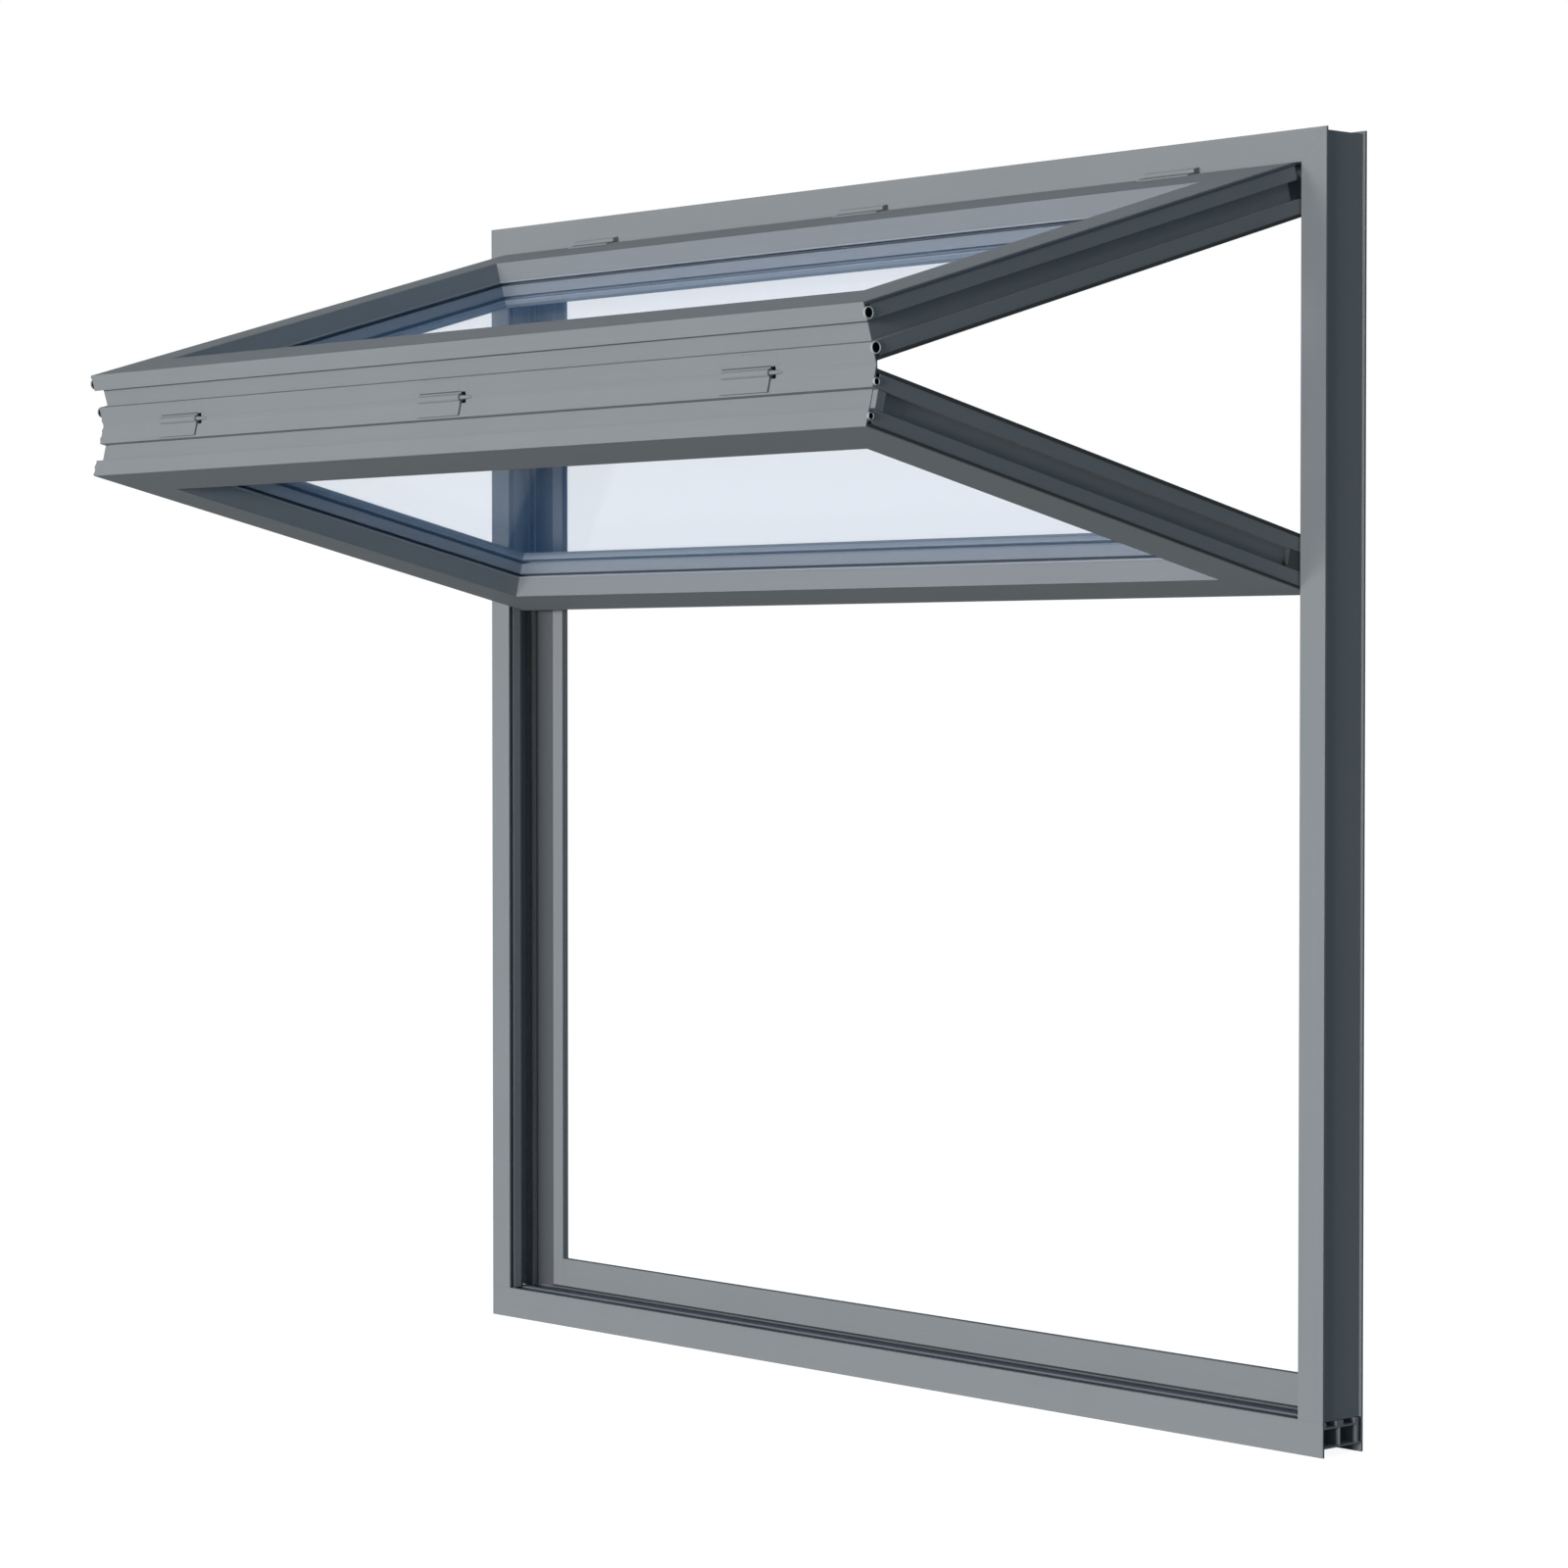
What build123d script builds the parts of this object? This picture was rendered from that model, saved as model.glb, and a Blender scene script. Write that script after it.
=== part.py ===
from build123d import *
from math import atan2, cos, hypot, sin, sqrt
import os

# Folding service window: a square aluminium frame with two glazed sashes, hinged
# together along their meeting rails and drawn in the raised position.
# Sizes in millimetres. X runs along the sill, Y into the building, Z up.
# The origin lies on the back face of the sill, in the middle, level with the sill floor.

# Outer frame
frame_width = 1500.0
frame_height = 1500.0
frame_depth = 70.0
wall = 2.0
frame_face = 37.0
groove_front = 2.0
groove_width = 6.0
groove_depth = 5.0
edge_return = 3.0
outer_recess = 3.5
stop_reach = 79.0
stop_thickness = 9.5
track_front = 20.5
track_width = 22.5
track_floor = 20.0

# Sill
sill_height = 40.0
sill_underside = 10.0
sill_groove_depth = 6.0
sill_rim = 6.0
sill_groove_front = 18.0
sill_rib = 12.0
sill_groove_back = 20.0

# Sashes
upper_height = 696.5
sash_proud = 3.5
sash_stop_gap = 2.0
sash_face = 76.0
sash_side_gap = 2.0
sash_top_gap = 2.0
sash_fold_gap = 4.0
sash_sill_gap = 3.0
edge_lip = 20.0
edge_channel = 22.0
channel_depth = 8.0
port_radius = 2.7
port_wall = 1.5
front_port_inset = 10.5
back_port_inset = 5.0

# Glazing
pane_thickness = 5.0
pane_gap = 14.0
glass_cover = 13.0
pocket_depth = 16.0
gasket_thickness = 2.0
gasket_cover = 10.0
gasket_show = 1.2
spacer_width = 11.0
bead_height = 9.0
bead_slope = 5.0
bead_nose = 4.0

# Hinges
head_hinge_length = 80.0
head_hinge_inset = 192.0
head_barrel_radius = 3.0
head_axis_rise = 3.0
head_leaf = 15.0
head_frame_leaf = 7.0
head_leaf_thickness = 1.5
fold_hinge_length = 76.0
fold_hinge_inset = 185.0
fold_hinge_shift = -12.0
fold_axis_proud = 3.0
fold_barrel_radius = 4.5
fold_notch_clearance = 0.4
fold_leaf = 18.0
fold_upper_leaf_thickness = 0.8
fold_lower_leaf_thickness = 2.5
fold_pin_radius = 2.0
fold_pocket_radius = 6.5
fold_pocket_length = 7.0
fold_seal_depth = 12.0

# Lower guides
raised_pin_drop = 460.0
pin_radius = 4.0
pin_above_edge = 4.0
pin_behind_track_edge = 6.5
pin_end_gap = 3.0
bracket_length = 50.0
bracket_clearance = 0.3
shoe_height = 12.0
shoe_clearance = 0.3

# Places that follow from the sizes above
stop_front = frame_depth - stop_thickness
sash_front = -sash_proud
sash_thickness = stop_front - sash_stop_gap + sash_proud
sash_width = frame_width - 2 * (frame_face + sash_side_gap)
head_edge = frame_height - frame_face
sash_top = head_edge - sash_top_gap
lower_height = sash_top - upper_height - sash_fold_gap - sash_sill_gap - sill_height
fold_plane = sash_thickness + fold_axis_proud
head_hinge_reach = sash_width / 2 - head_hinge_inset
fold_hinge_reach = sash_width / 2 - fold_hinge_inset
bead_front = sash_thickness - bead_height
glass_back = bead_front - gasket_thickness
glass_front = glass_back - 2 * pane_thickness - pane_gap
glazing_leg = glass_front - gasket_thickness
pin_depth = track_front + pin_behind_track_edge - sash_front
head_axis = (sash_front - head_barrel_radius, head_edge + head_axis_rise)
raised_pin = (sash_front + pin_depth, head_axis[1] - raised_pin_drop)


def section(outline, voids):
    shape = Polygon(*outline, align=None)
    for a0, a1, b0, b1 in voids:
        shape -= Pos(a0, b0) * Rectangle(a1 - a0, b1 - b0, align=(Align.MIN, Align.MIN))
    return shape


def frame_section():
    groove_back = groove_front + groove_width
    groove_floor = frame_face - groove_depth
    track_back = track_front + track_width
    outline = [
        (0, 0), (frame_face, 0), (frame_face, groove_front), (groove_floor, groove_front),
        (groove_floor, groove_back), (frame_face, groove_back), (frame_face, track_front),
        (track_floor, track_front), (track_floor, track_back), (frame_face, track_back),
        (frame_face, stop_front), (stop_reach, stop_front), (stop_reach, frame_depth),
        (0, frame_depth), (0, frame_depth - edge_return), (outer_recess, frame_depth - edge_return),
        (outer_recess, edge_return), (0, edge_return),
    ]
    inner = outer_recess + wall
    voids = [
        (inner, groove_floor - wall, wall, track_front - wall),
        (inner, track_floor - wall, track_front, track_back),
        (inner, frame_face - wall, track_back + wall, stop_front - wall),
        (inner, stop_reach - wall, stop_front + wall, frame_depth - wall),
    ]
    return section(outline, voids)


def sill_section():
    groove = sill_height - sill_groove_depth
    first = sill_rim
    second = first + sill_groove_front
    third = second + sill_rib
    fourth = third + sill_groove_back
    outline = [
        (0, 0), (sill_height, 0), (sill_height, first), (groove, first), (groove, second),
        (sill_height, second), (sill_height, third), (groove, third), (groove, fourth),
        (sill_height, fourth), (sill_height, stop_front), (stop_reach, stop_front),
        (stop_reach, frame_depth), (0, frame_depth), (0, frame_depth - edge_return),
        (sill_underside, frame_depth - edge_return), (sill_underside, edge_return), (0, edge_return),
    ]
    low = sill_underside + wall
    middle = second + sill_rib / 2
    voids = [
        (low, groove - wall, wall, middle - wall / 2),
        (low, groove - wall, middle + wall / 2, stop_front - wall),
        (low, stop_reach - wall, stop_front + wall, frame_depth - wall),
    ]
    return section(outline, voids)


def sash_section():
    back_lip = edge_lip + edge_channel
    pocket = sash_face - pocket_depth
    outline = [
        (0, 0), (sash_face, 0), (sash_face, glazing_leg), (pocket, glazing_leg),
        (pocket, sash_thickness), (0, sash_thickness), (0, back_lip), (channel_depth, back_lip),
        (channel_depth, edge_lip), (0, edge_lip),
    ]
    inner = channel_depth + wall
    middle = (glazing_leg + sash_thickness) / 2
    voids = [
        (inner, sash_face - wall, wall, glazing_leg - wall),
        (inner, pocket - wall, glazing_leg, middle - wall),
        (inner, pocket - wall, middle, sash_thickness - wall),
        (wall, channel_depth, wall, edge_lip - wall),
        (wall, channel_depth, back_lip + wall, sash_thickness - wall),
    ]
    shape = section(outline, voids)
    middle_of_lip = (wall + channel_depth) / 2
    for depth in (front_port_inset, back_lip + back_port_inset):
        shape += Pos(middle_of_lip, depth) * Circle(port_radius + port_wall)
        shape -= Pos(middle_of_lip, depth) * Circle(port_radius)
    return shape


def bead_section():
    pocket = sash_face - pocket_depth
    outline = [
        (pocket, bead_front), (sash_face, bead_front), (sash_face, bead_front + bead_nose),
        (sash_face - bead_slope, sash_thickness), (pocket, sash_thickness),
    ]
    hollow = (pocket + wall, sash_face - bead_slope - wall, bead_front + wall, sash_thickness - wall)
    return section(outline, [hollow])


# Ends of a bar, outer edge first: distance along the bar, distance inwards
def bar_end(kind, reach):
    if kind == "square":
        return [(0, 0), (0, reach)]
    if kind == "through":
        return [(0, 0), (0, channel_depth), (channel_depth, channel_depth), (reach, reach)]
    if kind == "notched":
        return [(channel_depth, 0), (channel_depth, channel_depth), (reach, reach)]
    return [(0, 0), (reach, reach)]


def bar(profile, length, reach, depth, start, end):
    first = bar_end(start, reach)
    last = [(length - along, inward) for along, inward in bar_end(end, reach)]
    plan = Polygon(*(first[::-1] + last), align=None)
    return extrude(Plane.YZ * profile, amount=length) & extrude(plan, amount=depth)


# Sides of a rectangle seen from outdoors, in order: sill, left, head, right
def side_place(index, width, height, low=0.0):
    corners = [(-width / 2, low), (width / 2, low), (width / 2, height), (-width / 2, height)]
    return Pos(*corners[index]) * Rot(0, 0, 90 * index)


def ring(width, height, outer, inner, front, thickness):
    plan = Rectangle(width - 2 * outer, height - 2 * outer)
    plan -= Rectangle(width - 2 * inner, height - 2 * inner)
    return Pos(0, height / 2, front) * extrude(plan, amount=thickness)


def frame_members():
    place = Plane((0, -frame_depth, -sill_height), x_dir=(-1, 0, 0), z_dir=(0, 1, 0)).location
    profile = frame_section()
    jamb = frame_height - sill_height
    size = (frame_width, frame_height)
    head = bar(profile, frame_width, stop_reach, frame_depth, "mitre", "mitre")
    left = bar(profile, jamb, stop_reach, frame_depth, "square", "mitre")
    right = bar(profile, jamb, stop_reach, frame_depth, "mitre", "square")
    sill = extrude(Plane.YZ * sill_section(), amount=frame_width)
    for along in (0, frame_width - stop_reach):
        sill -= Pos(along, sill_height, 0) * Box(
            stop_reach, stop_reach, frame_depth, align=(Align.MIN, Align.MIN, Align.MIN))
    return {
        "frame_sill": place * side_place(0, *size) * sill,
        "frame_jamb_left": place * side_place(1, *size, sill_height) * left,
        "frame_head": place * side_place(2, *size) * head,
        "frame_jamb_right": place * side_place(3, *size) * right,
    }


# Raised position of the sashes, as points and directions in the Y-Z plane.
# Depths count from the front of the frame and heights from its underside.
def raised_sashes():
    a1 = head_axis[1] - sash_top + upper_height + sash_fold_gap / 2
    b1 = head_barrel_radius + fold_plane
    a2 = lower_height + sash_fold_gap / 2 - pin_above_edge
    b2 = fold_plane - pin_depth
    r1 = hypot(a1, b1)
    r2 = hypot(a2, b2)
    dy = raised_pin[0] - head_axis[0]
    dz = raised_pin[1] - head_axis[1]
    span = hypot(dy, dz)
    along = (r1 * r1 - r2 * r2 + span * span) / (2 * span)
    out = sqrt(r1 * r1 - along * along)
    fold = (head_axis[0] + (along * dy + out * dz) / span, head_axis[1] + (along * dz - out * dy) / span)
    down = atan2(fold[1] - head_axis[1], fold[0] - head_axis[0]) - atan2(b1, a1)
    up = atan2(fold[1] - raised_pin[1], fold[0] - raised_pin[0]) + atan2(b2, a2)
    upper_in = (-sin(down), cos(down))
    lower_in = (sin(up), -cos(up))
    reach = a1 - sash_fold_gap / 2
    upper_foot = (
        head_axis[0] + head_barrel_radius * upper_in[0] + reach * cos(down),
        head_axis[1] + head_barrel_radius * upper_in[1] + reach * sin(down))
    lower_foot = (
        raised_pin[0] - pin_above_edge * cos(up) - pin_depth * lower_in[0],
        raised_pin[1] - pin_above_edge * sin(up) - pin_depth * lower_in[1])
    return fold, (upper_foot, upper_in), (lower_foot, lower_in)


def sash_place(pose):
    foot, inward = pose
    origin = (0, foot[0] - frame_depth, foot[1] - sill_height)
    return Plane(origin, x_dir=(-1, 0, 0), z_dir=(0, inward[0], inward[1])).location


def sash_parts(name, height, pose, fold_side):
    place = sash_place(pose)
    profile = sash_section()
    bead = bead_section()
    size = (sash_width, height)
    sides = ["bottom_rail", "left_stile", "top_rail", "right_stile"]
    lengths = [sash_width, height, sash_width, height]
    parts = {}
    for index, side in enumerate(sides):
        ends = ["mitre", "mitre"]
        if index == fold_side:
            ends = ["through", "through"]
        if (index + 1) % 4 == fold_side:
            ends[1] = "notched"
        if (index - 1) % 4 == fold_side:
            ends[0] = "notched"
        at = place * side_place(index, *size)
        rail = bar(profile, lengths[index], sash_face, sash_thickness, *ends)
        strip = bar(bead, lengths[index], sash_face, sash_thickness, "mitre", "mitre")
        parts[f"{name}_{side}"] = at * rail
        parts[f"{name}_bead_{side}"] = at * strip
    edge = sash_face - glass_cover
    wide = sash_width - 2 * edge
    tall = height - 2 * edge
    for label, front in (("outer", glass_front), ("inner", glass_back - pane_thickness)):
        pane = Box(wide, tall, pane_thickness, align=(Align.CENTER, Align.CENTER, Align.MIN))
        parts[f"{name}_{label}_pane"] = place * Pos(0, height / 2, front) * pane
    spacer = ring(*size, edge, edge + spacer_width, glass_front + pane_thickness, pane_gap)
    parts[f"{name}_glass_spacer"] = place * spacer
    cover = sash_face - gasket_cover
    show = sash_face + gasket_show
    for label, front in (("outer", glazing_leg), ("inner", glass_back)):
        parts[f"{name}_{label}_gasket"] = place * ring(*size, cover, show, front, gasket_thickness)
    return parts


def head_hinge(pose):
    inward = pose[1]
    y = head_axis[0] - frame_depth
    z = head_axis[1] - sill_height
    packing = sash_proud + head_leaf_thickness
    barrel = Pos(0, y, z) * Rot(0, 90, 0) * Cylinder(head_barrel_radius, head_hinge_length)
    frame_leaf = Pos(0, -frame_depth, head_edge - sill_height) * Box(
        head_hinge_length, packing, head_frame_leaf, align=(Align.CENTER, Align.MAX, Align.MIN))
    turned = Plane((0, y, z), x_dir=(-1, 0, 0), z_dir=(0, inward[0], inward[1])).location
    sash_leaf = turned * Pos(0, 0, head_barrel_radius) * Box(
        head_hinge_length, head_leaf, head_leaf_thickness, align=(Align.CENTER, Align.MAX, Align.MAX))
    return barrel + frame_leaf + sash_leaf


# A round bar on the fold axis, between two places along a hinge
def along_fold(fold, radius, left, right):
    middle = Pos(fold_hinge_shift + (left + right) / 2, fold[0] - frame_depth, fold[1] - sill_height)
    return middle * Rot(0, 90, 0) * Cylinder(radius, right - left)


def fold_hinge(fold, upper_pose, lower_pose):
    half = fold_hinge_length / 2
    barrel = along_fold(fold, fold_barrel_radius, -half, half)
    pin = along_fold(fold, fold_pin_radius, half, half + fold_pocket_length - 1)
    reach = fold_leaf + fold_axis_proud
    upper_leaf = sash_place(upper_pose) * Pos(-fold_hinge_shift, -fold_upper_leaf_thickness, fold_plane) * Box(
        fold_hinge_length, fold_upper_leaf_thickness, reach, align=(Align.CENTER, Align.MIN, Align.MAX))
    lower_leaf = sash_place(lower_pose) * Pos(-fold_hinge_shift, lower_height, fold_plane) * Box(
        fold_hinge_length, fold_lower_leaf_thickness, reach, align=(Align.CENTER, Align.MIN, Align.MAX))
    return barrel + pin + upper_leaf + lower_leaf


# Room for one fold hinge: its barrel, and the pocket at its pin end
def fold_room(fold, shift):
    half = fold_hinge_length / 2 + fold_notch_clearance
    barrel = along_fold(fold, fold_barrel_radius + fold_notch_clearance, -half, half)
    pocket = along_fold(fold, fold_pocket_radius, half, half + fold_pocket_length)
    return shift * (barrel + pocket)


def sash_point(pose, along, depth):
    foot, inward = pose
    return (foot[0] - along * inward[1] + depth * inward[0], foot[1] + along * inward[0] + depth * inward[1])


# Soft strip that closes the fold, as it stands between the raised sashes
def fold_seal(upper_pose, lower_pose):
    corners = [
        sash_point(lower_pose, lower_height, sash_thickness),
        sash_point(lower_pose, lower_height - fold_seal_depth, sash_thickness),
        sash_point(upper_pose, fold_seal_depth, sash_thickness), sash_point(upper_pose, 0, sash_thickness),
    ]
    shape = Polygon(*[(y - frame_depth, z - sill_height) for y, z in corners], align=None)
    return extrude(Plane.YZ * shape, amount=sash_width / 2, both=True)


def lower_guide(pose, side):
    place = sash_place(pose)
    channel = sash_width / 2 - channel_depth
    track = frame_width / 2 - track_floor
    middle = edge_lip + edge_channel / 2
    block = Pos(side * (channel + channel_depth / 2), 0, middle) * Box(
        channel_depth, bracket_length, edge_channel - 2 * bracket_clearance,
        align=(Align.CENTER, Align.MIN, Align.CENTER))
    length = track - pin_end_gap - channel
    pin = Pos(side * (channel + length / 2), pin_above_edge, pin_depth) * Rot(0, 90, 0) * Cylinder(
        pin_radius, length)
    return place * (block + pin)


def guide_shoe(side):
    deep = frame_face - track_floor - 2 * shoe_clearance
    centre = frame_width / 2 - track_floor - shoe_clearance - deep / 2
    middle = track_front + track_width / 2
    place = Pos(side * centre, middle - frame_depth, raised_pin[1] - sill_height)
    block = Box(deep, track_width - 2 * shoe_clearance, shoe_height)
    hole = Rot(0, 90, 0) * Cylinder(pin_radius + shoe_clearance, deep)
    return place * (block - Pos(0, raised_pin[0] - middle, 0) * hole)


def main():
    fold, upper_pose, lower_pose = raised_sashes()
    parts = frame_members()
    parts.update(sash_parts("upper", upper_height, upper_pose, 0))
    parts.update(sash_parts("lower", lower_height, lower_pose, 2))
    parts["fold_seal"] = fold_seal(upper_pose, lower_pose)
    for label, at in (("left", -1), ("centre", 0), ("right", 1)):
        shift = Pos(at * fold_hinge_reach, 0, 0)
        for name in ("upper_bottom_rail", "lower_top_rail", "fold_seal"):
            parts[name] -= fold_room(fold, shift)
        parts[f"fold_hinge_{label}"] = shift * fold_hinge(fold, upper_pose, lower_pose)
        parts[f"head_hinge_{label}"] = Pos(at * head_hinge_reach, 0, 0) * head_hinge(upper_pose)
    for label, side in (("left", 1), ("right", -1)):
        parts[f"guide_bracket_{label}"] = lower_guide(lower_pose, side)
        parts[f"guide_shoe_{label}"] = guide_shoe(-side)
    os.makedirs("parts", exist_ok=True)
    for name, shape in parts.items():
        export_step(shape, f"parts/{name}.step")


main()
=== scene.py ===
from math import cos, radians, sin

import bpy
import bmesh
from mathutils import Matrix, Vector


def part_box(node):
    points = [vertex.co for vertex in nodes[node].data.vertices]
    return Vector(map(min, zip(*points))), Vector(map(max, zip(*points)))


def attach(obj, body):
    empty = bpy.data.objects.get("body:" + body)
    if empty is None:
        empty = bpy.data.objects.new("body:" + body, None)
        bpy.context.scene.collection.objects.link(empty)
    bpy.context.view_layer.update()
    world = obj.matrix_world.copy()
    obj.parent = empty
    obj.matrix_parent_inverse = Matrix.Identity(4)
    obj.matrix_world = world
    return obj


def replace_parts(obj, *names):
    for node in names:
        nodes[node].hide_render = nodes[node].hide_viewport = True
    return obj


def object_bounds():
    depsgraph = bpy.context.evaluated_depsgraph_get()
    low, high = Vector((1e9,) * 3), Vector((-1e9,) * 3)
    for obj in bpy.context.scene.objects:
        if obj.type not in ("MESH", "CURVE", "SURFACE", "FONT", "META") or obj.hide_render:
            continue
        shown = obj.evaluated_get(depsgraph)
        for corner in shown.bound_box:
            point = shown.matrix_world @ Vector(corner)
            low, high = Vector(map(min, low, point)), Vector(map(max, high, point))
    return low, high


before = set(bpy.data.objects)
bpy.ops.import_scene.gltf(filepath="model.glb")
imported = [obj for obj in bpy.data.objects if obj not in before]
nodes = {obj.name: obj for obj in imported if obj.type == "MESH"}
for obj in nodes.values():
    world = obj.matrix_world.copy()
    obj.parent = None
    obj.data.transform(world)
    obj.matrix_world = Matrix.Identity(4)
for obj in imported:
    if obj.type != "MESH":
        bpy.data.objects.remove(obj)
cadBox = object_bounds()
print("window loaded:", len(nodes), "nodes")


def newGroup(name, inputs, outputs):
    group = bpy.data.node_groups.new(name, "ShaderNodeTree")
    for label, kind, value in inputs:
        socket = group.interface.new_socket(name=label, in_out="INPUT", socket_type=kind)
        socket.default_value = value
    for label, kind in outputs:
        group.interface.new_socket(name=label, in_out="OUTPUT", socket_type=kind)
    return group, group.nodes.new("NodeGroupInput"), group.nodes.new("NodeGroupOutput")


def addNode(tree, kind, **settings):
    node = tree.nodes.new(kind)
    for key, value in settings.items():
        setattr(node, key, value)
    return node


def mathNode(tree, operation, a, b):
    node = addNode(tree, "ShaderNodeMath", operation=operation)
    for socket, value in zip(node.inputs, (a, b)):
        if isinstance(value, (int, float)):
            socket.default_value = value
        else:
            tree.links.new(value, socket)
    return node.outputs[0]


def mixColours(tree, factor, a, b, blend="MIX"):
    node = addNode(tree, "ShaderNodeMix", data_type="RGBA", blend_type=blend)
    for socket, value in ((node.inputs[0], factor), (node.inputs[6], a), (node.inputs[7], b)):
        if isinstance(value, (int, float, tuple)):
            socket.default_value = value
        else:
            tree.links.new(value, socket)
    return node.outputs[2]


# Powder coat: fine orange peel, a little cloudiness, thin streaks along the extrusion and edges painted paler
# as a highlight
coatGrain = {"edgeFrom": 0.99, "edgeTo": 0.75, "streakScale": 260, "cloudShare": 0.65, "streakShare": 0.35,
             "highlightPale": (0.5, 0.52, 0.54, 1), "roughSwing": 0.12, "edgeGloss": 0.4}


def makeCoatGroup():
    tree, start, end = newGroup(
        "powderCoat",
        [("Colour", "NodeSocketColor", (0.3, 0.3, 0.3, 1)), ("Cloud Scale", "NodeSocketFloat", 6.0),
         ("Cloud Amount", "NodeSocketFloat", 0.08), ("Peel Scale", "NodeSocketFloat", 900.0),
         ("Stretch", "NodeSocketVector", (1, 1, 1)), ("Gloss", "NodeSocketFloat", 0.5),
         ("Edge Width", "NodeSocketFloat", 0.0007), ("Edge Highlight", "NodeSocketFloat", 0.35)],
        [("Colour", "NodeSocketColor"), ("Roughness", "NodeSocketFloat"), ("Height", "NodeSocketFloat"),
         ("Normal", "NodeSocketVector")])
    link = tree.links.new
    place = addNode(tree, "ShaderNodeTexCoord")
    rounded = addNode(tree, "ShaderNodeBevel", samples=4)
    link(start.outputs["Edge Width"], rounded.inputs["Radius"])
    flat = addNode(tree, "ShaderNodeNewGeometry")
    facing = addNode(tree, "ShaderNodeVectorMath", operation="DOT_PRODUCT")
    link(rounded.outputs[0], facing.inputs[0])
    link(flat.outputs["True Normal"], facing.inputs[1])
    edge = addNode(tree, "ShaderNodeMapRange")
    edge.inputs["From Min"].default_value = coatGrain["edgeFrom"]
    edge.inputs["From Max"].default_value = coatGrain["edgeTo"]
    link(facing.outputs["Value"], edge.inputs["Value"])
    cloud = addNode(tree, "ShaderNodeTexNoise")
    cloud.inputs["Detail"].default_value = 4
    link(place.outputs["Object"], cloud.inputs["Vector"])
    link(start.outputs["Cloud Scale"], cloud.inputs["Scale"])
    stretched = addNode(tree, "ShaderNodeVectorMath", operation="MULTIPLY")
    link(place.outputs["Object"], stretched.inputs[0])
    link(start.outputs["Stretch"], stretched.inputs[1])
    streak = addNode(tree, "ShaderNodeTexNoise")
    streak.inputs["Scale"].default_value = coatGrain["streakScale"]
    streak.inputs["Detail"].default_value = 3
    link(stretched.outputs[0], streak.inputs["Vector"])
    peel = addNode(tree, "ShaderNodeTexNoise")
    peel.inputs["Detail"].default_value = 2
    link(place.outputs["Object"], peel.inputs["Vector"])
    link(start.outputs["Peel Scale"], peel.inputs["Scale"])
    both = mathNode(tree, "ADD", mathNode(tree, "MULTIPLY", cloud.outputs[0], coatGrain["cloudShare"]),
                    mathNode(tree, "MULTIPLY", streak.outputs[0], coatGrain["streakShare"]))
    swing = mathNode(tree, "MULTIPLY", mathNode(tree, "SUBTRACT", both, 0.5), 2.0)
    shade = mathNode(tree, "ADD", 1.0, mathNode(tree, "MULTIPLY", swing, start.outputs["Cloud Amount"]))
    tone = addNode(tree, "ShaderNodeCombineColor")
    for index in range(3):
        link(shade, tone.inputs[index])
    toned = mixColours(tree, 1.0, start.outputs["Colour"], tone.outputs[0], "MULTIPLY")
    # edges are painted paler and glossier: a painted highlight along the rounded edges, broken up by the
    # cloud noise
    edgeLit = mathNode(tree, "MULTIPLY", edge.outputs[0], start.outputs["Edge Highlight"])
    litPatches = mathNode(tree, "MULTIPLY", edgeLit, cloud.outputs[0])
    link(mixColours(tree, litPatches, toned, coatGrain["highlightPale"]), end.inputs["Colour"])
    rough = mathNode(tree, "ADD", start.outputs["Gloss"],
                     mathNode(tree, "MULTIPLY", swing, coatGrain["roughSwing"]))
    link(mathNode(tree, "SUBTRACT", rough, mathNode(tree, "MULTIPLY", litPatches, coatGrain["edgeGloss"])),
         end.inputs["Roughness"])
    link(rounded.outputs[0], end.inputs["Normal"])
    link(peel.outputs[0], end.inputs["Height"])
    return tree


# Fine speckle and soft bloom for rubber and moulded plastic
rubberGrain = {"bloomScale": 18, "pale": (0.2, 0.2, 0.21, 1), "paleShare": 0.5, "roughSwing": 0.15}


def makeRubberGroup():
    tree, start, end = newGroup(
        "mouldedGrain",
        [("Colour", "NodeSocketColor", (0.03, 0.03, 0.03, 1)), ("Bloom", "NodeSocketFloat", 0.25),
         ("Scale", "NodeSocketFloat", 400.0), ("Gloss", "NodeSocketFloat", 0.6)],
        [("Colour", "NodeSocketColor"), ("Roughness", "NodeSocketFloat"), ("Height", "NodeSocketFloat")])
    link = tree.links.new
    place = addNode(tree, "ShaderNodeTexCoord")
    grain = addNode(tree, "ShaderNodeTexNoise")
    grain.inputs["Detail"].default_value = 3
    link(place.outputs["Object"], grain.inputs["Vector"])
    link(start.outputs["Scale"], grain.inputs["Scale"])
    bloom = addNode(tree, "ShaderNodeTexNoise")
    bloom.inputs["Scale"].default_value = rubberGrain["bloomScale"]
    link(place.outputs["Object"], bloom.inputs["Vector"])
    pale = mixColours(tree, rubberGrain["paleShare"], start.outputs["Colour"], rubberGrain["pale"])
    amount = mathNode(tree, "MULTIPLY", bloom.outputs[0], start.outputs["Bloom"])
    link(mixColours(tree, amount, start.outputs["Colour"], pale), end.inputs["Colour"])
    rough = mathNode(tree, "ADD", start.outputs["Gloss"],
                     mathNode(tree, "MULTIPLY", bloom.outputs[0], rubberGrain["roughSwing"]))
    link(rough, end.inputs["Roughness"])
    link(grain.outputs[0], end.inputs["Height"])
    return tree


# Long brushed scratches for the guide brackets and cut ends
brushGrain = {"scale": 220, "dark": (0.12, 0.12, 0.12, 1), "darkShare": 0.35, "roughSwing": 0.2}


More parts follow.
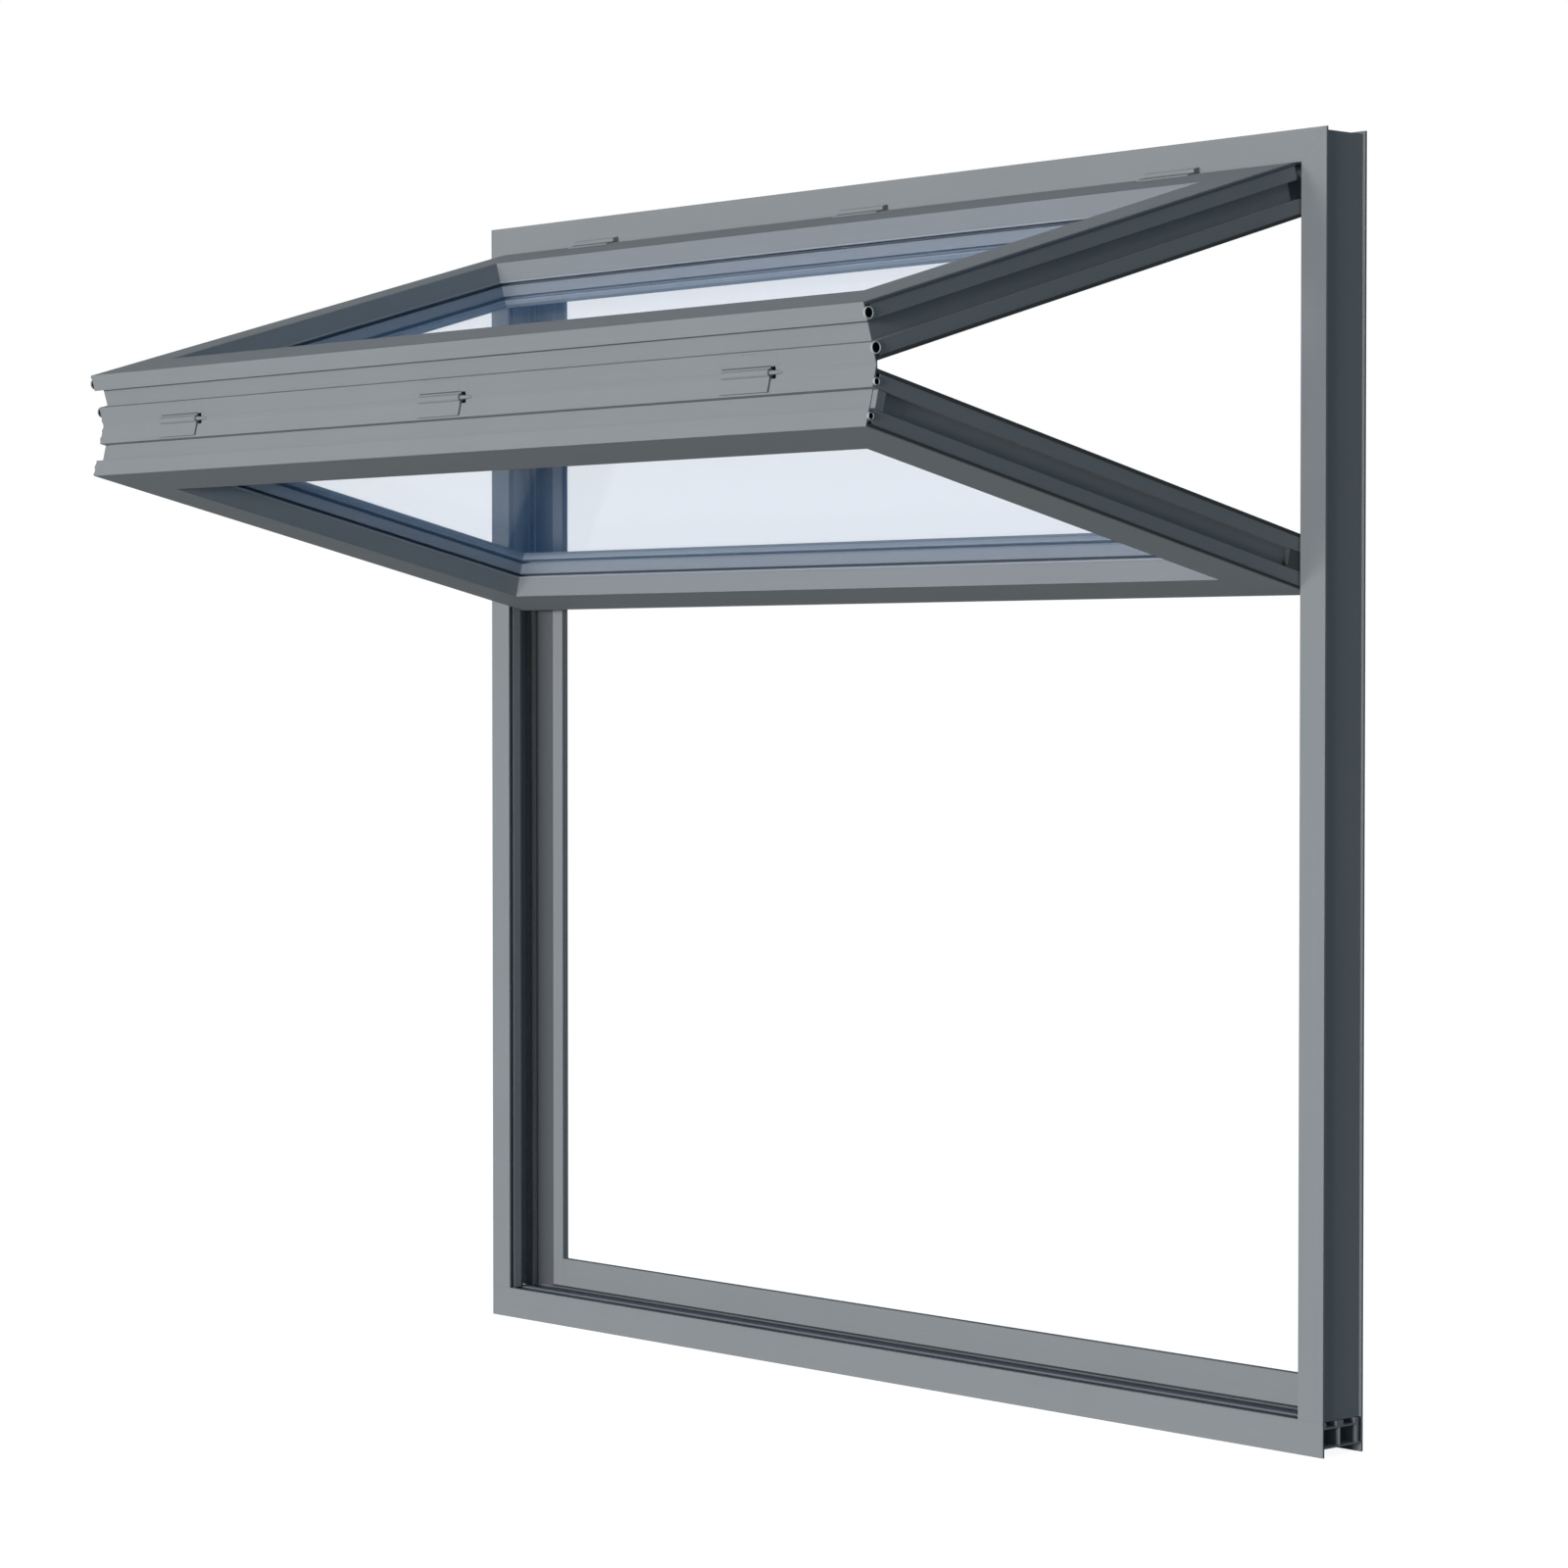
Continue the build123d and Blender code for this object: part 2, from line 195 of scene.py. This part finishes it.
def makeBrushedGroup():
    tree, start, end = newGroup(
        "platedMetal",
        [("Colour", "NodeSocketColor", (0.5, 0.5, 0.5, 1)), ("Stretch", "NodeSocketVector", (1, 12, 12)),
         ("Gloss", "NodeSocketFloat", 0.35)],
        [("Colour", "NodeSocketColor"), ("Roughness", "NodeSocketFloat"), ("Height", "NodeSocketFloat")])
    link = tree.links.new
    place = addNode(tree, "ShaderNodeTexCoord")
    stretched = addNode(tree, "ShaderNodeVectorMath", operation="MULTIPLY")
    link(place.outputs["Object"], stretched.inputs[0])
    link(start.outputs["Stretch"], stretched.inputs[1])
    scratch = addNode(tree, "ShaderNodeTexNoise")
    scratch.inputs["Scale"].default_value = brushGrain["scale"]
    scratch.inputs["Detail"].default_value = 5
    link(stretched.outputs[0], scratch.inputs["Vector"])
    dark = mixColours(tree, brushGrain["darkShare"], start.outputs["Colour"], brushGrain["dark"])
    link(mixColours(tree, scratch.outputs[0], start.outputs["Colour"], dark), end.inputs["Colour"])
    swing = mathNode(tree, "MULTIPLY", scratch.outputs[0], brushGrain["roughSwing"])
    link(mathNode(tree, "ADD", start.outputs["Gloss"], swing), end.inputs["Roughness"])
    link(scratch.outputs[0], end.inputs["Height"])
    return tree


coatGroup = makeCoatGroup()
rubberGroup = makeRubberGroup()
brushedGroup = makeBrushedGroup()


def makeMaterial(name, group, values, bump, metallic=0.0, specular=0.5):
    material = bpy.data.materials.new(name)
    material.use_nodes = True
    tree = material.node_tree
    shader = tree.nodes["Principled BSDF"]
    grain = addNode(tree, "ShaderNodeGroup", node_tree=group)
    for key, value in values.items():
        grain.inputs[key].default_value = value
    tree.links.new(grain.outputs["Colour"], shader.inputs["Base Color"])
    tree.links.new(grain.outputs["Roughness"], shader.inputs["Roughness"])
    bumpNode = addNode(tree, "ShaderNodeBump")
    bumpNode.inputs["Strength"].default_value = bump[0]
    bumpNode.inputs["Distance"].default_value = bump[1]
    tree.links.new(grain.outputs["Height"], bumpNode.inputs["Height"])
    if "Normal" in grain.outputs:
        tree.links.new(grain.outputs["Normal"], bumpNode.inputs["Normal"])
    tree.links.new(bumpNode.outputs[0], shader.inputs["Normal"])
    shader.inputs["Metallic"].default_value = metallic
    shader.inputs["Specular IOR Level"].default_value = specular
    return material


coat = {"grey": (0.276, 0.288, 0.298, 1), "gloss": 0.62, "cloud": 0.07, "peel": 900.0, "specular": 0.012,
        "bump": (0.12, 0.0004)}


def makeCoat(name, stretch):
    values = {"Colour": coat["grey"], "Gloss": coat["gloss"], "Cloud Amount": coat["cloud"],
              "Peel Scale": coat["peel"], "Stretch": stretch}
    return makeMaterial(name, coatGroup, values, coat["bump"], specular=coat["specular"])


acrossCoat = makeCoat("coat along the width", (0.02, 1, 1))
uprightCoat = makeCoat("coat along the height", (1, 1, 0.02))
stileCoat = makeCoat("coat along the stiles", (1, 0.02, 0.06))
hingeCoat = makeCoat("hinge coat", (0.2, 1, 1))


# Colour, bloom and specular of each rubber; the painted shade grey darkens the jamb stops' corners and the
# gap along the fold leaf
rubbers = {"gasket rubber": ((0.34, 0.36, 0.39, 1), 0.25, 0.2),
           "fold seal rubber": ((0.25, 0.265, 0.275, 1), 0.25, 0.25),
           "edge seal rubber": ((0.055, 0.062, 0.066, 1), 0.1, 0.1),
           "painted shade grey": ((0.105, 0.112, 0.12, 1), 0.1, 0.1),
           "slate seal rubber": ((0.105, 0.125, 0.155, 1), 0.1, 0.1)}


def makeRubber(name):
    colour, bloom, specular = rubbers[name]
    values = {"Colour": colour, "Bloom": bloom}
    return makeMaterial(name, rubberGroup, values, (0.2, 0.0003), specular=specular)


gasketRubber = makeRubber("gasket rubber")
foldRubber = makeRubber("fold seal rubber")
blackRubber = makeRubber("edge seal rubber")
paintedShadeGrey = makeRubber("painted shade grey")
slateRubber = makeRubber("slate seal rubber")
shoePlastic = makeMaterial("guide nylon", rubberGroup, {"Colour": (0.028, 0.028, 0.03, 1), "Gloss": 0.45},
                           (0.15, 0.0003))
spacerPlastic = makeMaterial("warm edge spacer", rubberGroup,
                             {"Colour": (0.26, 0.27, 0.29, 1), "Scale": 900.0, "Gloss": 0.5}, (0.15, 0.0003))
# near-black: painted shadow for dark hollows, used in the screw ports and the fold hinge pockets
paintedShadowBlack = makeMaterial("painted shadow black", rubberGroup,
                         {"Colour": (0.006, 0.006, 0.007, 1), "Bloom": 0.02}, (0.1, 0.0003), specular=0.0)
darkPlate = makeMaterial("blackened bracket", brushedGroup, {"Colour": (0.1, 0.105, 0.11, 1), "Gloss": 0.6},
                         (0.1, 0.0002), specular=0.1)
bareMetal = makeMaterial("cut aluminium", brushedGroup, {"Colour": (0.5, 0.52, 0.54, 1), "Gloss": 0.5},
                         (0.1, 0.0002), metallic=0.2)


glass = {"tint": (0.18, 0.48, 0.97, 1), "paler": (0.22, 0.52, 0.98, 1), "filmScale": 5, "smear": 0.03,
         "ior": 1.003, "body": 0.1, "clear": 0.4, "gloss": 0.45}


def makeGlass():
    material = bpy.data.materials.new("float glass")
    material.use_nodes = True
    tree = material.node_tree
    shader = tree.nodes["Principled BSDF"]
    place = addNode(tree, "ShaderNodeTexCoord")
    film = addNode(tree, "ShaderNodeTexNoise")
    film.inputs["Scale"].default_value = glass["filmScale"]
    film.inputs["Detail"].default_value = 6
    tree.links.new(place.outputs["Object"], film.inputs["Vector"])
    tree.links.new(mathNode(tree, "MULTIPLY", film.outputs[0], glass["smear"]), shader.inputs["Roughness"])
    tinted = mixColours(tree, film.outputs[0], glass["tint"], glass["paler"])
    tree.links.new(tinted, shader.inputs["Base Color"])
    shader.inputs["Transmission Weight"].default_value = glass["clear"]
    shader.inputs["IOR"].default_value = glass["ior"]
    shader.inputs["Alpha"].default_value = glass["body"]
    shader.inputs["Coat Weight"].default_value = glass["gloss"]
    return material


paneGlass = makeGlass()
print("finishes ready")


def setFinish(item, material):
    item.data.materials.clear()
    item.data.materials.append(material)


finishes = (("pane", paneGlass), ("gasket", gasketRubber), ("fold_seal", foldRubber),
            ("spacer", spacerPlastic), ("hinge", hingeCoat), ("guide_bracket", darkPlate),
            ("guide_shoe", shoePlastic), ("jamb", uprightCoat), ("stile", stileCoat))
for name, item in nodes.items():
    setFinish(item, next((finish for word, finish in finishes if word in name), acrossCoat))
    item.visible_shadow = "pane" not in name  # clear glass lets the lamp through
print("window members finished")


# Where the two sashes stand when raised: foot is the lower outdoor edge, inward points to the room side
upperSash = {"foot": (-0.748512, 1.224728), "inward": (0.282815, -0.959174),
             "height": 0.6965, "foldEnd": 0.0}
lowerSash = {"foot": (-0.046019, 0.935387), "inward": (0.226714, 0.973961),
             "height": 0.7175, "foldEnd": 0.7175}
sashHalf = 0.711


def sashPoint(sash, across, along, depth):
    (footY, footZ), (inY, inZ) = sash["foot"], sash["inward"]
    return Vector((across, footY - along * inZ + depth * inY, footZ + along * inY + depth * inZ))


def addPiece(name, mesh, material):
    piece = bpy.data.objects.new(name, mesh)
    bpy.context.collection.objects.link(piece)
    mesh.materials.append(material)
    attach(piece, "root")
    return piece


def smoothOver(piece, degrees):
    piece.data.shade_smooth()
    piece.data.set_sharp_from_angle(angle=radians(degrees))


def skinRows(bm, rows, closed=True):
    count = len(rows[0])
    for a, b in zip(rows, rows[1:]):
        for i in range(count):
            bm.faces.new((a[i], a[(i + 1) % count], b[(i + 1) % count], b[i]))
    if closed:
        bm.faces.new(rows[0][::-1])
        bm.faces.new(rows[-1])


def meshOf(bm, name):
    bmesh.ops.recalc_face_normals(bm, faces=bm.faces)
    mesh = bpy.data.meshes.new(name)
    bm.to_mesh(mesh)
    bm.free()
    return mesh


def meshFrom(name, rings, closed=True):
    bm = bmesh.new()
    skinRows(bm, [[bm.verts.new(point) for point in ring] for ring in rings], closed)
    return meshOf(bm, name)


# Flap seals round three sides of each sash, near its outdoor and room edges
edgeSeal = {"front": (0.0008, 0.0042), "back": (0.0574, 0.0614), "stand": 0.0011, "sunk": 0.0004,
            "shoulder": 0.0003, "nearFlat": 0.001, "farFlat": 0.0013}


def makeEdgeSeal(name, sash, low, high, material):
    stand, sunk, shoulder = edgeSeal["stand"], edgeSeal["sunk"], edgeSeal["shoulder"]
    profile = [(-sunk, low), (stand * 0.7, low + shoulder), (stand, low + edgeSeal["nearFlat"]),
               (stand, high - edgeSeal["farFlat"]), (stand * 0.6, high - shoulder), (-sunk, high)]
    foldEnd, outer = sash["foldEnd"], sash["height"] - sash["foldEnd"]
    beyond = 1 if outer > foldEnd else -1
    path = [((-sashHalf, foldEnd), (-1, 0)), ((-sashHalf, outer), (-1, beyond)),
            ((sashHalf, outer), (1, beyond)), ((sashHalf, foldEnd), (1, 0))]
    rings = [[sashPoint(sash, x + out * dx, y + out * dy, depth) for out, depth in profile]
             for (x, y), (dx, dy) in path]
    addPiece(name, meshFrom(name, rings), material)


makeEdgeSeal("upper_front_edge_seal", upperSash, *edgeSeal["front"], slateRubber)
makeEdgeSeal("upper_back_edge_seal", upperSash, *edgeSeal["back"], blackRubber)
makeEdgeSeal("lower_front_edge_seal", lowerSash, *edgeSeal["front"], blackRubber)
makeEdgeSeal("lower_back_edge_seal", lowerSash, *edgeSeal["back"], blackRubber)


# Round bushes in the screw ports at the ends of the meeting rails, each with a near-black disc inside that is
# painted shade for the port's dark hollow
portBush = {"inset": 0.0036, "depths": (("front", 0.012), ("back", 0.0485)), "upperSize": 0.0068,
            "lowerSize": 0.0042, "stand": 0.0018, "steps": 28, "shadeDiscSteps": 24}


def makePortBush(name, sash, side, depth, size):
    inset = portBush["inset"] if sash["foldEnd"] == 0 else -portBush["inset"]
    centre = sashPoint(sash, side * sashHalf, sash["foldEnd"] + inset, depth)

    def around(radius, out, step, steps):
        angle = radians(360) * step / steps
        return centre + Vector((side * out, radius * cos(angle), radius * sin(angle)))

    stand, steps, shadeDiscSteps = portBush["stand"], portBush["steps"], portBush["shadeDiscSteps"]
    lip = [(size, -0.0003), (size, stand * 0.75), (size * 0.95, stand), (size * 0.84, stand),
           (size * 0.79, stand * 0.8), (size * 0.79, 0.0002)]
    rings = [[around(radius, out, step, steps) for radius, out in lip] for step in range(steps + 1)]
    bush = addPiece(name, meshFrom(name, rings, closed=False), bareMetal)
    smoothOver(bush, 35)
    # near-black disc in each bush: painted shade for the port's dark hollow
    hollow = ((size * 0.8, 0.0006), (size * 0.6, 0.0003), (size * 0.2, 0.0002))
    shadeDisc = [[around(radius, out, step, shadeDiscSteps) for step in range(shadeDiscSteps)] for radius, out in hollow]
    addPiece(name + "_cup", meshFrom(name + "_cup", shadeDisc), paintedShadowBlack)


for label, sash in (("upper", upperSash), ("lower", lowerSash)):
    for sideName, side in (("left", -1), ("right", 1)):
        for depthName, depth in portBush["depths"]:
            name = "_".join((label, "port", sideName, depthName))
            makePortBush(name, sash, side, depth, portBush[label + "Size"])


# Where the fold hinges stand: the axis in Y and Z, the pin's free end and the thickness of the upper leaf
foldHinge = {"labels": ("left", "centre", "right"), "axis": (-0.732048, 1.161816), "pinEnd": 0.006,
             "leaf": 0.0008}


def foldSpan(label):
    low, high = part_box("fold_hinge_" + label)
    return low[0], high[0] - foldHinge["pinEnd"]


def aboutFold(x, y, z):
    axisY, axisZ = foldHinge["axis"]
    return Vector((x, axisY + y, axisZ + z))


# Sleeve that runs out of the barrel over the pin and tapers into the pocket: reach, share of radius, sunk
foldSleeve = {"radius": 0.0024, "steps": 20,
              "tail": ((0, 1, 0), (0.004, 1, 0), (0.0075, 0.97, 0.0002), (0.0115, 0.8, 0.0011),
                       (0.0165, 0.5, 0.0022))}


def makeFoldSleeve(name, finish):
    steps = foldSleeve["steps"]
    turn = [radians(360) * step / steps for step in range(steps)]
    rings = []
    for reach, share, sunk in foldSleeve["tail"]:
        radius = share * foldSleeve["radius"]
        rings.append([aboutFold(finish + reach, sunk + radius * cos(a), radius * sin(a)) for a in turn])
    smoothOver(addPiece(name, meshFrom(name, rings), hingeCoat), 40)


# Near-black shell in the pocket behind the barrel: painted shade for the pocket's dark hollow
foldPocketShade = {"inner": 0.00495, "outer": 0.0063, "from": -82.5, "step": 15, "count": 12, "beyond": 0.0008}


def makeFoldPocketShade(name, start, finish):
    swing = [radians(foldPocketShade["step"] * step + foldPocketShade["from"]) for step in range(foldPocketShade["count"])]
    arc = [(foldPocketShade["inner"] * cos(a), foldPocketShade["inner"] * sin(a)) for a in swing]
    arc += [(foldPocketShade["outer"] * cos(a), foldPocketShade["outer"] * sin(a)) for a in reversed(swing)]
    beyond = foldPocketShade["beyond"]
    ends = (start - beyond, finish, finish + foldHinge["pinEnd"] + beyond)
    rings = [[aboutFold(x, y, z) for y, z in arc] for x in ends]
    addPiece(name, meshFrom(name, rings), paintedShadowBlack)


# Fillet that eases the end of the thin leaf into the rail
foldFillet = {"length": 0.014, "depths": (0.044, 0.051, 0.0585), "overlap": 0.0002, "step": 0.0004,
              "toe": 0.00002}


def makeFoldFillet(name, finish):
    leaf, overlap = foldHinge["leaf"], foldFillet["overlap"]
    back, toe = finish - overlap, finish + foldFillet["length"]
    outline = ((back, overlap), (toe, overlap), (toe, -foldFillet["toe"]),
               (finish + foldFillet["step"], -leaf), (back, -leaf))
    rings = [[sashPoint(upperSash, x, along, depth) for x, along in outline]
             for depth in foldFillet["depths"]]
    addPiece(name, meshFrom(name, rings), acrossCoat)


# Dark strip that runs the length of the leaf: painted shade for the narrow gap beside it
foldGapShade = {"near": 0.0576, "far": 0.059, "half": 0.0002, "crown": 0.0003}


def makeFoldGapShade(name, start, finish):
    near, far, half, leaf = foldGapShade["near"], foldGapShade["far"], foldGapShade["half"], foldHinge["leaf"]
    outline = ((half - leaf, near), (-leaf - half, near), (-leaf - foldGapShade["crown"], (near + far) / 2),
               (-leaf - half, far), (half - leaf, far))
    rings = [[sashPoint(upperSash, x, along, depth) for along, depth in outline]
             for x in (start, (start + finish) / 2, finish)]
    addPiece(name, meshFrom(name, rings), paintedShadeGrey)


for label in foldHinge["labels"]:
    start, finish = foldSpan(label)
    makeFoldSleeve("fold_sleeve_" + label, finish)
    makeFoldPocketShade("fold_pocket_shade_" + label, start, finish)
    makeFoldFillet("fold_fillet_" + label, finish)
    makeFoldGapShade("fold_gap_shade_" + label, start, finish)


# Soft web along the fold, cut back where the three hinges sit
foldWeb = {"depth": 0.0026, "hollow": 0.0009, "face": 0.062, "sunk": 0.0003, "proud": 0.0001, "room": 0.001}


def foldWebSection():
    deep, height = foldWeb["depth"], lowerSash["height"]
    sunk, proud = foldWeb["face"] - foldWeb["sunk"], foldWeb["face"] + foldWeb["proud"]
    corners = [sashPoint(upperSash, 0, 0, sunk), sashPoint(upperSash, 0, deep, proud),
               sashPoint(lowerSash, 0, height - deep, proud), sashPoint(lowerSash, 0, height, sunk)]
    hollow = (corners[0] + corners[3]) / 2 + Vector((0, foldWeb["hollow"], 0))
    return corners + [(corners[3] + hollow) / 2, hollow, (corners[0] + hollow) / 2]


def makeFoldWeb():
    section = foldWebSection()
    ends = [-sashHalf]
    for label in foldHinge["labels"]:
        low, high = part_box("fold_hinge_" + label)
        ends += [low[0], high[0] + foldWeb["room"]]
    ends.append(sashHalf)
    bm = bmesh.new()
    for start, finish in zip(ends[::2], ends[1::2]):
        rows = [[bm.verts.new((x, point.y, point.z)) for point in section]
                for x in (start, (start + finish) / 2, finish)]
        skinRows(bm, rows)
    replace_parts(addPiece("fold_web", meshOf(bm, "fold_web"), foldRubber), "fold_seal")


makeFoldWeb()


# Seals and painted-shade strips that run along the frame's members; a section's point is (place, depth behind
# the front)
frameFront = -0.07
frameHalf = 0.75


def makeFrameStrip(name, section, path, material):
    rings = [[Vector((x, frameFront + depth, z)) for x, depth, z in (path(point, end) for point in section)]
             for end in (0, 1)]
    return addPiece(name, meshFrom(name, rings), material)


# Hollow-faced dark strip in the corner of each jamb's stop: painted shade for the soft shading in that corner
stopShadeStrip = {"corner": 0.037, "stop": 0.0605, "width": 0.0215, "deep": 0.0125, "bed": 0.0004, "steps": 12,
            "top": 1.423}


def stopShadeSection():
    corner, stop, width, deep, bed = (stopShadeStrip[key] for key in ("corner", "stop", "width", "deep", "bed"))
    swing = [radians(90) * step / stopShadeStrip["steps"] for step in range(stopShadeStrip["steps"] + 1)]
    hollow = [(corner + width - width * cos(a), stop - deep + deep * sin(a)) for a in swing]
    return hollow + [(corner + width, stop + bed), (corner - bed, stop + bed), (corner - bed, stop - deep)]


# Black strip at the back of each guide track: painted shade for the dark depth of the slot
trackShade = {"low": 0.0306, "high": 0.0388, "back": 0.043, "stand": 0.0003, "bed": 0.0001, "chamfer": 0.0004}


def trackShadeSection():
    low, high, back, stand = (trackShade[key] for key in ("low", "high", "back", "stand"))
    bed = back + trackShade["bed"]
    return [(low, back - stand), (high - trackShade["chamfer"], back - stand), (high, back - stand / 2),
            (high, bed), (low, bed)]


def makeJambShadeStrips(sideName, side):
    def upright(point, end):
        return side * (frameHalf - point[0]), point[1], end * stopShadeStrip["top"]

    smoothOver(makeFrameStrip("stop_shade_strip_" + sideName, stopShadeSection(), upright, paintedShadeGrey), 30)
    # the track strip takes the guide nylon's near-black as painted shade
    makeFrameStrip("track_shade_strip_" + sideName, trackShadeSection(), upright, shoePlastic)


makeJambShadeStrips("left", -1)
makeJambShadeStrips("right", 1)


# Dark strip on the sill's rib and a thin one at the foot of its stop
sillStrip = {"half": 0.6905, "near": 0.0239, "far": 0.0361, "stand": 0.0008, "bed": 0.0002, "round": 0.0005,
             "foot": 0.0018, "footStand": 0.0009, "toe": 0.0012, "toeHeight": 0.0006}


def makeSillStrips():
    def across(point, end):
        return (2 * end - 1) * sillStrip["half"], point[0], point[1]

    near, far, stand, bed = (sillStrip[key] for key in ("near", "far", "stand", "bed"))
    edge = sillStrip["round"]
    rib = [(near, -bed), (near, stand * 0.7), (near + edge, stand), (far - edge, stand),
           (far, stand * 0.7), (far, -bed)]
    makeFrameStrip("sill_rib_seal", rib, across, slateRubber)
    stop, foot, out = stopShadeStrip["stop"], sillStrip["foot"], sillStrip["footStand"]
    toe = stop - out - sillStrip["toe"]
    strip = [(stop + bed, -bed), (toe, -bed), (toe, sillStrip["toeHeight"]), (stop - out, foot * 0.6),
             (stop - out * 0.5, foot), (stop + bed, foot)]
    makeFrameStrip("sill_foot_seal", strip, across, blackRubber)


makeSillStrips()


# Plug that fills the top of each lower stile's channel, flush with its lips
stilePlug = {"inset": 0.0002, "deep": 0.0078, "low": 0.021, "high": 0.0085, "front": 0.0203, "back": 0.0417,
             "round": 0.0006}


def makeStilePlug(name, side):
    bm = bmesh.new()
    corners = []
    for across in (sashHalf - stilePlug["inset"], sashHalf - stilePlug["deep"]):
        for drop in (stilePlug["low"], stilePlug["high"]):
            for depth in (stilePlug["front"], stilePlug["back"]):
                point = sashPoint(lowerSash, side * across, lowerSash["height"] - drop, depth)
                corners.append(bm.verts.new(point))
    for ids in ((0, 1, 3, 2), (4, 6, 7, 5), (0, 4, 5, 1), (2, 3, 7, 6), (0, 2, 6, 4), (1, 5, 7, 3)):
        bm.faces.new([corners[i] for i in ids])
    bmesh.ops.recalc_face_normals(bm, faces=bm.faces)
    bmesh.ops.bevel(bm, geom=bm.edges[:], offset=stilePlug["round"], segments=2, profile=0.5, affect="EDGES")
    addPiece(name, meshOf(bm, name), acrossCoat)


for sideName, side in (("left", -1), ("right", 1)):
    makeStilePlug("stile_plug_" + sideName, side)
print("seals, bushes and plugs added")


studio = {"floor": (0.66, 0.64, 0.62, 1), "floorGlow": 0.93, "floorHalf": 30, "floorDrop": 0.0005,
          "cool": (0.76, 1.0, 1.18, 1), "ambient": 0.19}


# Shows the pale backdrop to the camera, and in gloss and glass
def backdropSeen(tree):
    path = addNode(tree, "ShaderNodeLightPath")
    direct = mathNode(tree, "MAXIMUM", path.outputs["Is Camera Ray"], path.outputs["Is Glossy Ray"])
    return mathNode(tree, "MAXIMUM", direct, path.outputs["Is Transmission Ray"])


def makeFloor():
    low, half = cadBox[0][2] - studio["floorDrop"], studio["floorHalf"]
    mesh = bpy.data.meshes.new("floor")
    mesh.from_pydata([(-half, -half, low), (half, -half, low), (half, half, low), (-half, half, low)], [],
                     [(0, 1, 2, 3)])
    floor = bpy.data.objects.new("floor", mesh)
    bpy.context.collection.objects.link(floor)
    material = bpy.data.materials.new("pale floor")
    material.use_nodes = True
    tree = material.node_tree
    shader = tree.nodes["Principled BSDF"]
    shader.inputs["Base Color"].default_value = studio["floor"]
    shader.inputs["Roughness"].default_value = 0.9
    shader.inputs["Specular IOR Level"].default_value = 0.0
    tree.links.new(mathNode(tree, "MULTIPLY", backdropSeen(tree), studio["floorGlow"]),
                   shader.inputs["Emission Strength"])
    shader.inputs["Emission Color"].default_value = (1, 1, 1, 1)
    mesh.materials.append(material)


def makeWorld():
    world = bpy.data.worlds.new("studio")
    bpy.context.scene.world = world
    world.use_nodes = True
    tree = world.node_tree
    background = tree.nodes["Background"]
    seen = backdropSeen(tree)
    extra = mathNode(tree, "MULTIPLY", seen, 1 - studio["ambient"])
    tree.links.new(mathNode(tree, "ADD", studio["ambient"], extra), background.inputs["Strength"])
    tree.links.new(mixColours(tree, seen, studio["cool"], (1, 1, 1, 1)), background.inputs["Color"])


lamps = {"aim": (0, 0, 0.75), "size": 4.8, "key": ((2.8, -20, 1.1), 3000), "fill": ((-3.9, -20, 1.1), 1300)}


def addLamp(name):
    place, power = lamps[name]
    data = bpy.data.lights.new(name, "AREA")
    data.shape = "DISK"
    data.size = lamps["size"]
    data.energy = power
    lamp = bpy.data.objects.new(name, data)
    lamp.location = place
    lamp.rotation_euler = (Vector(lamps["aim"]) - Vector(place)).to_track_quat("-Z", "Y").to_euler()
    bpy.context.collection.objects.link(lamp)


# Viewpoint of the picture: down is the tilt below level and turn is about Z, in degrees
view = {"place": (3.87967, -3.75343, 0.83621), "down": 1.3648, "turn": 47.5806, "lens": 97.92, "sensor": 36}


def makeCamera():
    data = bpy.data.cameras.new("camera")
    data.sensor_width = view["sensor"]
    data.lens = view["lens"]
    camera = bpy.data.objects.new("camera", data)
    camera.location = view["place"]
    camera.rotation_euler = (radians(90 - view["down"]), 0, radians(view["turn"]))
    bpy.context.collection.objects.link(camera)
    bpy.context.scene.camera = camera


makeFloor()
makeWorld()
addLamp("key")
addLamp("fill")
makeCamera()
bpy.context.scene.view_settings.view_transform = "Standard"
print("studio ready")
